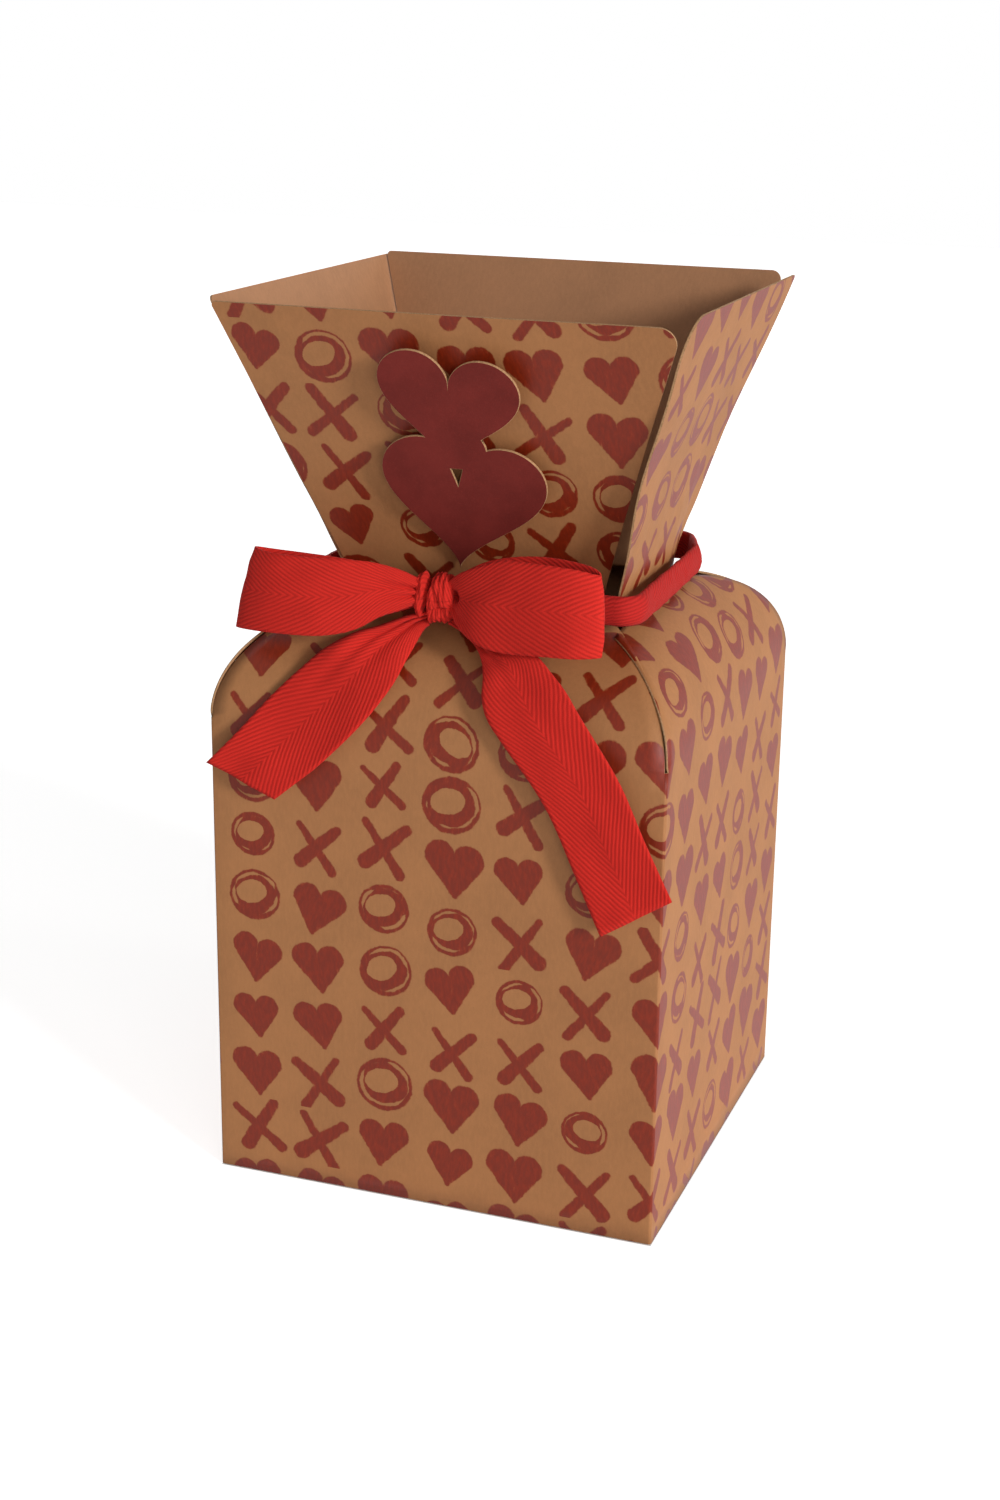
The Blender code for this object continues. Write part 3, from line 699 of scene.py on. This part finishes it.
def smooth_rows(rows, steps):
    """Rows of points on a smooth curve through the given rows."""
    ends = [rows[0]] + rows + [rows[-1]]
    made = []
    for a, b, c, d in zip(ends, ends[1:], ends[2:], ends[3:]):
        for k in range(steps):
            t = k / steps
            weights = (
                -0.5 * t**3 + t**2 - 0.5 * t,
                1.5 * t**3 - 2.5 * t**2 + 1,
                -1.5 * t**3 + 2 * t**2 + 0.5 * t,
                0.5 * t**3 - 0.5 * t**2,
            )
            row = []
            for points in zip(a, b, c, d):
                row.append(sum((w * Vector(p) for w, p in zip(weights, points)), Vector()))
            made.append(row)
    made.append([Vector(point) for point in rows[-1]])
    return made


TAPE_ACROSS = 24
TAPE_STEPS = 6


def tape(name, rows, relief, way, materials):
    """A stretch of tape through rows of edge points. relief(share, across) lifts it off the middle.

    The twill's chevrons point along the stretch where way is 1, and back where it is -1."""
    edges = smooth_rows(rows, TAPE_STEPS)
    middles = [(lower + upper) / 2 for lower, upper in edges]
    lengths = [0.0]
    for before, after in zip(middles, middles[1:]):
        lengths.append(lengths[-1] + (after - before).length)
    whole = lengths[-1]
    made, coordinates = [], []
    for k, (lower, upper) in enumerate(edges):
        ahead = middles[min(k + 1, len(edges) - 1)] - middles[max(k - 1, 0)]
        normal = ahead.cross(upper - lower).normalized()
        row, line = [], []
        for i in range(TAPE_ACROSS + 1):
            across = 2 * i / TAPE_ACROSS - 1
            point = lower.lerp(upper, i / TAPE_ACROSS)
            lift = relief(lengths[k] / whole, across)
            row.append(point + normal * lift)
            line.append((across * TAPE_WIDTH / 2, way * lengths[k]))
        made.append(row)
        coordinates.append(line)
    obj = grid_object(name, made, coordinates, "tape", materials)
    thicken(obj, TAPE_THICKNESS, offset=0.0, even=False)
    return obj, whole


knot_low, knot_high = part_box("ribbon_knot")
KNOT_MIDDLE = (knot_low + knot_high) / 2

# Rows of the bow's edge points, in millimetres to the right of, in front of and above the knot's
# middle. A loop runs from the knot out to its fold and home again, and a row has its lower and its
# upper edge. A tail runs from the knot to its cut end, and a row has its left and its right edge
LOOP_LEFT = (
    ((-5.5, 2.0, -0.5), (-5.5, 1.5, 6.0)),
    ((-10.0, 6.5, -2.0), (-10.5, 5.5, 9.5)),
    ((-15.5, 9.0, -4.0), (-17.5, 8.0, 11.5)),
    ((-21.5, 11.0, -7.5), (-23.5, 9.5, 12.0)),
    ((-28.0, 12.5, -9.5), (-29.5, 10.5, 12.0)),
    ((-36.0, 13.5, -10.5), (-39.0, 11.0, 12.0)),
    ((-51.5, 12.5, -11.0), (-49.0, 10.0, 12.0)),
    ((-61.0, 8.5, -11.5), (-55.5, 6.5, 12.5)),
    ((-53.5, 5.0, -11.5), (-49.5, 3.5, 11.5)),
    ((-37.5, 3.0, -10.5), (-35.5, 1.5, 10.5)),
    ((-22.5, 0.5, -7.0), (-21.5, -0.5, 9.0)),
    ((-12.5, -0.5, -4.0), (-12.5, -1.0, 7.0)),
    ((-5.5, -1.5, -1.0), (-5.5, -1.5, 5.5)),
)
LOOP_RIGHT = (
    ((1.5, 1.5, -0.5), (1.5, 1.0, 6.0)),
    ((3.5, 2.5, -1.5), (3.5, 2.0, 7.0)),
    ((7.0, 5.5, -5.0), (7.5, 4.0, 10.0)),
    ((12.0, 9.5, -7.5), (14.0, 6.0, 13.0)),
    ((17.5, 12.0, -9.0), (20.5, 7.5, 15.5)),
    ((25.0, 13.5, -9.5), (26.5, 9.0, 16.0)),
    ((37.0, 16.0, -8.5), (34.5, 10.0, 16.0)),
    ((46.0, 16.5, -8.0), (43.0, 10.0, 15.5)),
    ((52.5, 13.5, -7.5), (49.5, 7.5, 14.0)),
    ((46.5, 10.0, -7.0), (45.5, 4.5, 15.5)),
    ((34.5, 5.5, -6.5), (33.5, 1.0, 16.0)),
    ((22.5, 2.0, -6.0), (22.5, -0.5, 15.0)),
    ((12.5, 0.0, -5.0), (13.0, -1.5, 12.5)),
    ((5.5, -1.0, -2.5), (5.5, -1.5, 8.5)),
    ((1.5, -1.5, -1.0), (1.5, -2.0, 6.0)),
)
TAIL_LEFT = (
    ((-4.0, 0.5, -3.0), (-3.5, 0.5, -7.0)),
    ((-10.5, 2.5, -5.0), (-5.0, 1.5, -8.5)),
    ((-18.0, 5.0, -8.0), (-6.5, 3.5, -12.0)),
    ((-24.0, 6.5, -10.0), (-8.0, 7.5, -16.5)),
    ((-30.0, 8.5, -13.5), (-10.5, 13.0, -23.5)),
    ((-35.5, 10.0, -17.5), (-18.0, 18.0, -34.5)),
    ((-46.0, 15.0, -28.0), (-29.5, 20.0, -46.5)),
    ((-56.5, 19.5, -40.5), (-37.5, 20.5, -53.5)),
    ((-65.5, 21.0, -50.0), (-44.0, 20.5, -59.0)),
)
TAIL_RIGHT = (
    ((3.0, 1.5, -6.0), (5.5, 1.5, -4.5)),
    ((7.5, 3.5, -7.0), (10.0, 4.5, -6.0)),
    ((12.5, 6.5, -9.5), (14.5, 7.5, -8.0)),
    ((16.0, 10.0, -13.0), (22.5, 9.5, -8.5)),
    ((18.0, 14.0, -17.0), (32.5, 12.5, -9.0)),
    ((18.5, 16.0, -22.0), (39.0, 14.5, -14.0)),
    ((20.5, 17.5, -27.5), (43.5, 16.5, -18.0)),
    ((25.5, 18.5, -34.0), (48.0, 18.0, -24.0)),
    ((38.0, 19.0, -50.0), (59.5, 19.0, -40.0)),
    ((47.5, 19.0, -69.0), (68.0, 19.0, -57.5)),
    ((56.0, 19.0, -87.5), (76.5, 19.0, -74.0)),
)

# How far the pleats run out, the pit where the right loop leaves the knot, and the left tail's rolled edge
PLEAT_FADE = 0.010
PIT_DEPTH = 0.0048
ROLL_HEIGHT = 0.0014


def from_knot(place):
    """A point, from millimetres to the right of, in front of and above the knot's middle."""
    right, forward, above = place
    return KNOT_MIDDLE + Vector((right, -forward, above)) / 1000


def pleats(distance, across, depth, count, phase):
    """Uneven pleats that fan out from a gathered end and fade along the tape."""
    uneven = across + 0.22 * math.sin(3.1 * across + phase)
    return depth * math.exp(-distance / PLEAT_FADE) * math.cos(count * math.pi * uneven + phase)


def bow_piece(name, stands_for, table, relief, way, materials):
    """A stretch of the bow that comes out of the knot."""
    rows = [[from_knot(place) for place in edges] for edges in table]
    obj, length = tape(name, rows, relief, way, materials)
    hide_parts(stands_for)
    return obj


def loop(name, stands_for, table, sign, depth, count, phase, materials):
    """A loop of the bow, gathered at the knot."""
    whole = 2 * max(abs(lower[0]) for lower, upper in table) / 1000

    def relief(share, across):
        end = min(share, 1 - share) * whole
        lift = pleats(end, across, depth, count, phase)
        lift += 0.0006 * (1 - across**2) * math.sin(math.pi * share)
        lift += 0.0004 * noise.noise(Vector((share * 9, across * 2.2, sign * 4.0)))
        if sign > 0:
            lift -= PIT_DEPTH * bell(share, 0.030, 0.018) * bell(across, 0.0, 0.32)
        return sign * lift

    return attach(bow_piece(name, stands_for, table, relief, -1, materials), "body")


def tail(name, stands_for, table, sign, depth, count, phase, materials):
    """A tail of the bow, from the knot over the shoulder to its oblique cut end."""
    whole = abs(table[-1][0][2]) / 1000

    def relief(share, across):
        lift = pleats(share * whole, across, depth, count, phase)
        lift += 0.0007 * noise.noise(Vector((share * 5, across * 1.4, sign * 7.0))) * min(share * 4, 1)
        if sign < 0:
            lift += ROLL_HEIGHT * bell(across, -0.8, 0.22) * bell(share, 0.25, 0.22)
        return lift

    obj = bow_piece(name, stands_for, table, relief, sign, materials)
    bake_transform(obj)
    return obj


# Neck band

# The path's corner radius, and how far it stands inside the solid band's outer faces
BAND_CORNER = 0.0042
BAND_SKIN = 0.0033

# Where the path's slanting stretches begin and end
BAND_RIGHT_BACK = 0.0215
BAND_BACK_RIGHT = 0.0430
BAND_DRAWN_IN = 0.0022
BAND_LEFT_FRONT = 0.0425

# The band's height in front and at the sides, its lift, and how far it dips beside the knot
BAND_HEIGHT_FRONT = 0.0082
BAND_HEIGHT_SIDE = 0.0086
BAND_LIFT = -0.0004
BAND_DIP = 0.0045

# Section of the band: share of its height, distance off the neck, and the place across the tape
BAND_SECTION = (
    (-0.46, 0.0006, 1.0),
    (-0.2, 0.0008, 0.75),
    (0.15, 0.0009, 0.4),
    (0.40, 0.0010, 0.12),
    (0.48, 0.0013, 0.06),
    (0.50, 0.0018, 0.0),
    (0.47, 0.0023, 0.06),
    (0.36, 0.0028, 0.14),
    (0.15, 0.0032, 0.32),
    (-0.08, 0.0033, 0.52),
    (-0.30, 0.0030, 0.74),
    (-0.44, 0.0024, 0.9),
    (-0.50, 0.0019, 1.0),
)


def rounded_path(corners, radius, steps):
    """A closed path, running anticlockwise, with round corners and points along its straights."""
    path = []
    count = len(corners)
    for i, corner in enumerate(corners):
        before = (corners[i - 1] - corner).normalized()
        after = (corners[(i + 1) % count] - corner).normalized()
        half = before.angle(after) / 2
        centre = corner + (before + after).normalized() * radius / math.sin(half)
        start = corner + before * radius / math.tan(half) - centre
        sweep = math.pi - 2 * half
        for k in range(steps + 1):
            path.append(centre + Matrix.Rotation(sweep * k / steps, 2) @ start)
    dense = []
    for here, there in zip(path, path[1:] + path[:1]):
        pieces = max(1, int((there - here).length / 0.0012))
        for k in range(pieces):
            dense.append(here.lerp(there, k / pieces))
    return dense


def neck_band(materials):
    """The tape round the neck, folded in two along its length, with its fold at the top."""
    low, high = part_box("ribbon_neck_band")
    front, back = -low.y - BAND_SKIN, high.y - BAND_SKIN
    left, right = -low.x - BAND_SKIN, high.x - BAND_SKIN
    corners = [Vector(pair) for pair in (
        (right, -front),
        (right - BAND_DRAWN_IN, BAND_RIGHT_BACK),
        (BAND_BACK_RIGHT, back),
        (-left, back),
        (-left, -BAND_LEFT_FRONT),
        (knot_low.x, -front),
    )]
    path = rounded_path(corners, BAND_CORNER, 8)
    middle_z = (low.z + high.z) / 2 + BAND_LIFT
    rows, coordinates = [], []
    length = 0.0
    for k, place in enumerate(path):
        along = (path[(k + 1) % len(path)] - path[k - 1]).normalized()
        out = Vector((along.y, -along.x))
        sideways = min(max((-place.y - BAND_LEFT_FRONT + BAND_CORNER) / 0.004, 0), 1)
        height = BAND_HEIGHT_SIDE + (BAND_HEIGHT_FRONT - BAND_HEIGHT_SIDE) * sideways
        dip = BAND_DIP if place.x < -left / 2 else BAND_DIP * max(0, (knot_low.x - place.x) / left)
        middle = middle_z - dip * sideways
        row, line = [], []
        for share, lift, reach in BAND_SECTION:
            crinkle = 0.0005 * noise.noise(Vector((length * 260, share * 5, lift * 900)))
            spot = place + out * (lift + crinkle)
            row.append(Vector((spot.x, spot.y, middle + share * height)))
            line.append((reach * TAPE_WIDTH / 2, length))
        rows.append(row)
        coordinates.append(line)
        length += (path[(k + 1) % len(path)] - place).length
    coordinates.append([(reach * TAPE_WIDTH / 2, length) for share, lift, reach in BAND_SECTION])
    obj = grid_object("neck_tape", rows, coordinates, "tape", materials, closed=True)
    thicken(obj, TAPE_THICKNESS, offset=0.0, even=False)
    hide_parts("ribbon_neck_band")
    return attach(obj, "body")


# Knot

# Shift from the solid knot's middle, half sizes, and the share of the half width that isn't rolled in
KNOT_SHIFT = Vector((-0.0013, -0.0002, 0.0011))
KNOT_HALF = Vector((0.0060, 0.0047, 0.0070))
KNOT_AROUND = 64
KNOT_ACROSS = 48
KNOT_RIM = 0.76


def knot_relief(across, turn):
    """How far the knot's tape stands in from its outer shape, from 0 to 1. turn is 0 in front."""
    upward = math.sin(turn)
    forward = max(math.cos(turn), 0)
    deep = 0.62 * bell(across, -0.42 + 0.12 * upward, 0.12)
    deep += 0.16 * bell(across, 0.22 - 0.50 * upward, 0.13) * forward
    deep += 0.50 * bell(upward, -0.50 + 0.20 * across, 0.13) * bell(across, 0.2, 0.6) * forward
    deep += 0.20 * max(across, 0) ** 2 * forward
    deep += 0.045 * math.sin(26 * across + 2.0 * upward)
    return deep + 0.16 * noise.noise(Vector((across * 2.2 + 4, math.cos(turn) * 1.5, upward * 1.5)))


def knot(materials):
    """The knot: tape wrapped round the bow's waist in lobes, its edges rolled in at both sides."""
    rows, coordinates = [], []
    middle = KNOT_MIDDLE + KNOT_SHIFT
    for k in range(KNOT_AROUND + 1):
        turn = 2 * math.pi * k / KNOT_AROUND
        row, line = [], []
        for i in range(KNOT_ACROSS + 1):
            share = 2 * i / KNOT_ACROSS - 1
            rolled = max(0, (abs(share) - KNOT_RIM) / (1 - KNOT_RIM))
            across = math.copysign(min(abs(share) / KNOT_RIM, 1) - 0.18 * rolled, share)
            radius = 1 - 0.08 * across**2 - 0.24 * abs(across) ** 6 - knot_relief(across, turn)
            radius = radius + (0.25 - radius) * rolled
            y = math.copysign(abs(math.cos(turn)) ** 0.75, math.cos(turn)) * KNOT_HALF.y * radius
            z = math.copysign(abs(math.sin(turn)) ** 0.85, math.sin(turn)) * KNOT_HALF.z * radius
            row.append(middle + Vector((across * KNOT_HALF.x, -y, z)))
            line.append((share * TAPE_WIDTH / 2, turn * KNOT_HALF.z))
        rows.append(row)
        coordinates.append(line)
    obj = grid_object("bow_knot", rows, coordinates, "tape", materials)
    thicken(obj, TAPE_THICKNESS, offset=-1.0, even=False)
    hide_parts("ribbon_knot")
    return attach(obj, "body")


# Tag

# How far the tag's lower tip leans aside, and how far its edges are softened
TAG_LEAN = Vector((-0.0040, 0, 0))
TAG_BEVEL = 0.00012


def tag(materials):
    """The tag: the solid's own outline, its edges softened, red in front and kraft at the cut."""
    source = frame["nodes"]["heart_tag"]
    shell = bmesh.new()
    shell.from_mesh(source.data)
    bmesh.ops.remove_doubles(shell, verts=shell.verts, dist=1e-6)
    bmesh.ops.dissolve_limit(shell, angle_limit=0.01, verts=shell.verts, edges=shell.edges)
    front = max(shell.faces, key=lambda face: face.calc_area() * (1 if face.normal.y < 0 else 0))
    normal = front.normal.copy()
    rim = [edge for edge in shell.edges if len(edge.link_faces) == 2
           and edge.link_faces[0].normal.angle(edge.link_faces[1].normal) > 1]
    bmesh.ops.bevel(shell, geom=rim, offset=TAG_BEVEL, segments=2, affect="EDGES", profile=0.5)
    for face in shell.faces:
        facing = face.normal.dot(normal)
        face.material_index = 0 if facing > 0.97 else 1
        face.smooth = abs(facing) < 0.97
    top = max(vert.co.z for vert in shell.verts)
    height = top - min(vert.co.z for vert in shell.verts)
    for vert in shell.verts:
        share = ((top - vert.co.z) / height) ** 2
        vert.co += share * TAG_LEAN
    mesh = bpy.data.meshes.new("tag_hearts")
    shell.to_mesh(mesh)
    shell.free()
    for material in materials:
        mesh.materials.append(material)
    obj = bpy.data.objects.new("tag_hearts", mesh)
    bpy.context.scene.collection.objects.link(obj)
    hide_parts("heart_tag")
    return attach(obj, "tag")


# Stage: strengths of the light tent at its sides and overhead, and of the floor's glow
WORLD_SIDES = 0.36
WORLD_TOP = 0.13
FLOOR_GLOW = 0.70


def floor():
    """A white floor. It glows a little to the camera, but not under the box."""
    bpy.ops.mesh.primitive_plane_add(size=6.0, location=(0, 0, -0.0004))
    obj = bpy.context.object
    obj.name = "floor"
    made, tree, shader = new_material("floor_paint", 0.9, 0.1)
    shader.inputs["Base Color"].default_value = linear(FLOOR)
    path = node(tree, "ShaderNodeLightPath").outputs
    seen = maths(tree, "MAXIMUM", path["Is Camera Ray"], path["Is Glossy Ray"])
    place = vectors(tree, "ABSOLUTE", node(tree, "ShaderNodeTexCoord").outputs["Object"])
    place = node(tree, "ShaderNodeSeparateXYZ", [(0, place)]).outputs
    clear = maths(tree, "GREATER_THAN", maths(tree, "MAXIMUM", place[0], place[1]), BODY_HALF)
    glow = maths(tree, "MULTIPLY", seen, maths(tree, "MULTIPLY", clear, FLOOR_GLOW))
    shader.inputs["Emission Color"].default_value = (1, 1, 1, 1)
    tree.links.new(glow, shader.inputs["Emission Strength"])
    obj.data.materials.append(made)


def world():
    """A light tent, brighter at its sides than overhead, and white to the camera and in reflections."""
    made = bpy.data.worlds.new("studio")
    made.use_nodes = True
    bpy.context.scene.world = made
    tree = made.node_tree
    back = tree.nodes["Background"]
    back.inputs["Color"].default_value = (1, 1, 1, 1)
    direction = node(tree, "ShaderNodeTexCoord").outputs["Generated"]
    rise = node(tree, "ShaderNodeSeparateXYZ", [(0, direction)]).outputs[2]
    light = ramp(tree, rise, 0.0, 0.9, WORLD_SIDES, WORLD_TOP)
    path = node(tree, "ShaderNodeLightPath").outputs
    seen = maths(tree, "MAXIMUM", path["Is Camera Ray"], path["Is Transmission Ray"])
    seen = maths(tree, "MAXIMUM", seen, path["Is Glossy Ray"])
    strength = node(tree, "ShaderNodeMix", [("Factor", seen), ("A", light), ("B", 1.0)]).outputs[0]
    tree.links.new(strength, back.inputs["Strength"])


def sun(name, direction, strength, spread):
    """A soft light from far away, with the direction to it."""
    light = bpy.data.lights.new(name, "SUN")
    light.energy = strength
    light.angle = math.radians(spread)
    obj = bpy.data.objects.new(name, light)
    obj.rotation_euler = Vector(direction).to_track_quat("Z", "Y").to_euler()
    bpy.context.scene.collection.objects.link(obj)


def soft_box(name, place, size, power):
    """A square lamp that faces the object and isn't itself in the picture."""
    light = bpy.data.lights.new(name, "AREA")
    light.size = size
    light.energy = power
    obj = bpy.data.objects.new(name, light)
    obj.location = place
    obj.rotation_euler = (place - CAMERA_TARGET).to_track_quat("Z", "Y").to_euler()
    obj.visible_camera = False
    bpy.context.scene.collection.objects.link(obj)


def camera():
    data = bpy.data.cameras.new("camera")
    data.lens = CAMERA_LENS
    data.sensor_width = CAMERA_SENSOR
    data.clip_start = 0.01
    obj = bpy.data.objects.new("camera", data)
    turn = Matrix.Rotation(math.radians(CAMERA_YAW), 4, "Z")
    turn = turn @ Matrix.Rotation(math.radians(90 - CAMERA_PITCH), 4, "X")
    turn = turn @ Matrix.Rotation(math.radians(CAMERA_ROLL), 4, "Z")
    back = turn.to_3x3() @ Vector((0, 0, CAMERA_DISTANCE))
    obj.matrix_world = Matrix.Translation(CAMERA_TARGET + back) @ turn
    bpy.context.scene.collection.objects.link(obj)
    bpy.context.scene.camera = obj


def dress():
    card = (printed_kraft(), plain_kraft("kraft_inside", KRAFT_INSIDE), cut_edge("kraft_cut_and_highlight", KRAFT_CUT_AND_HIGHLIGHT))
    red = (twill("twill_tape", TAPE_RED),)
    # The neck band's twill: the same tape, its red darkened as painted shade of the band's folds
    gathered = (twill("twill_painted_shade", TAPE_RED_PAINTED_SHADE),)
    for side in SIDES:
        wall(side, card)
        collar(side, card)
    for name in ("seam_flap", "base_flap_front", "base_flap_left", "base_flap_right", "base_flap_back"):
        obj = frame["nodes"][name]
        obj.data.materials.clear()
        obj.data.materials.append(card[1])
    # The band wears the darker twill, whose colour is painted shade of its folds
    neck_band(gathered)
    knot(red)
    loop("bow_left", "bow_loop_left", LOOP_LEFT, -1, 0.0012, 2.6, 0.4, red)
    loop("bow_right", "bow_loop_right", LOOP_RIGHT, 1, 0.0006, 2.2, 1.9, red)
    tail("tail_left", "ribbon_tail_left", TAIL_LEFT, -1, 0.0012, 2.6, 1.2, red)
    tail("tail_right", "ribbon_tail_right", TAIL_RIGHT, 1, 0.0010, 2.2, 0.2, red)
    tag((tag_board(), card[2]))


floor()
world()
sun("key", (0.84, -0.46, 0.28), 2.1, 12)
sun("side", (0.97, -0.05, 0.10), 0.6, 8)
sun("back", (-0.45, 0.85, 0.30), 0.7, 20)
soft_box("fill", Vector((0.50, -0.82, 0.30)), 0.4, 1.7)
camera()
dress()
bpy.context.scene.view_settings.view_transform = "Standard"
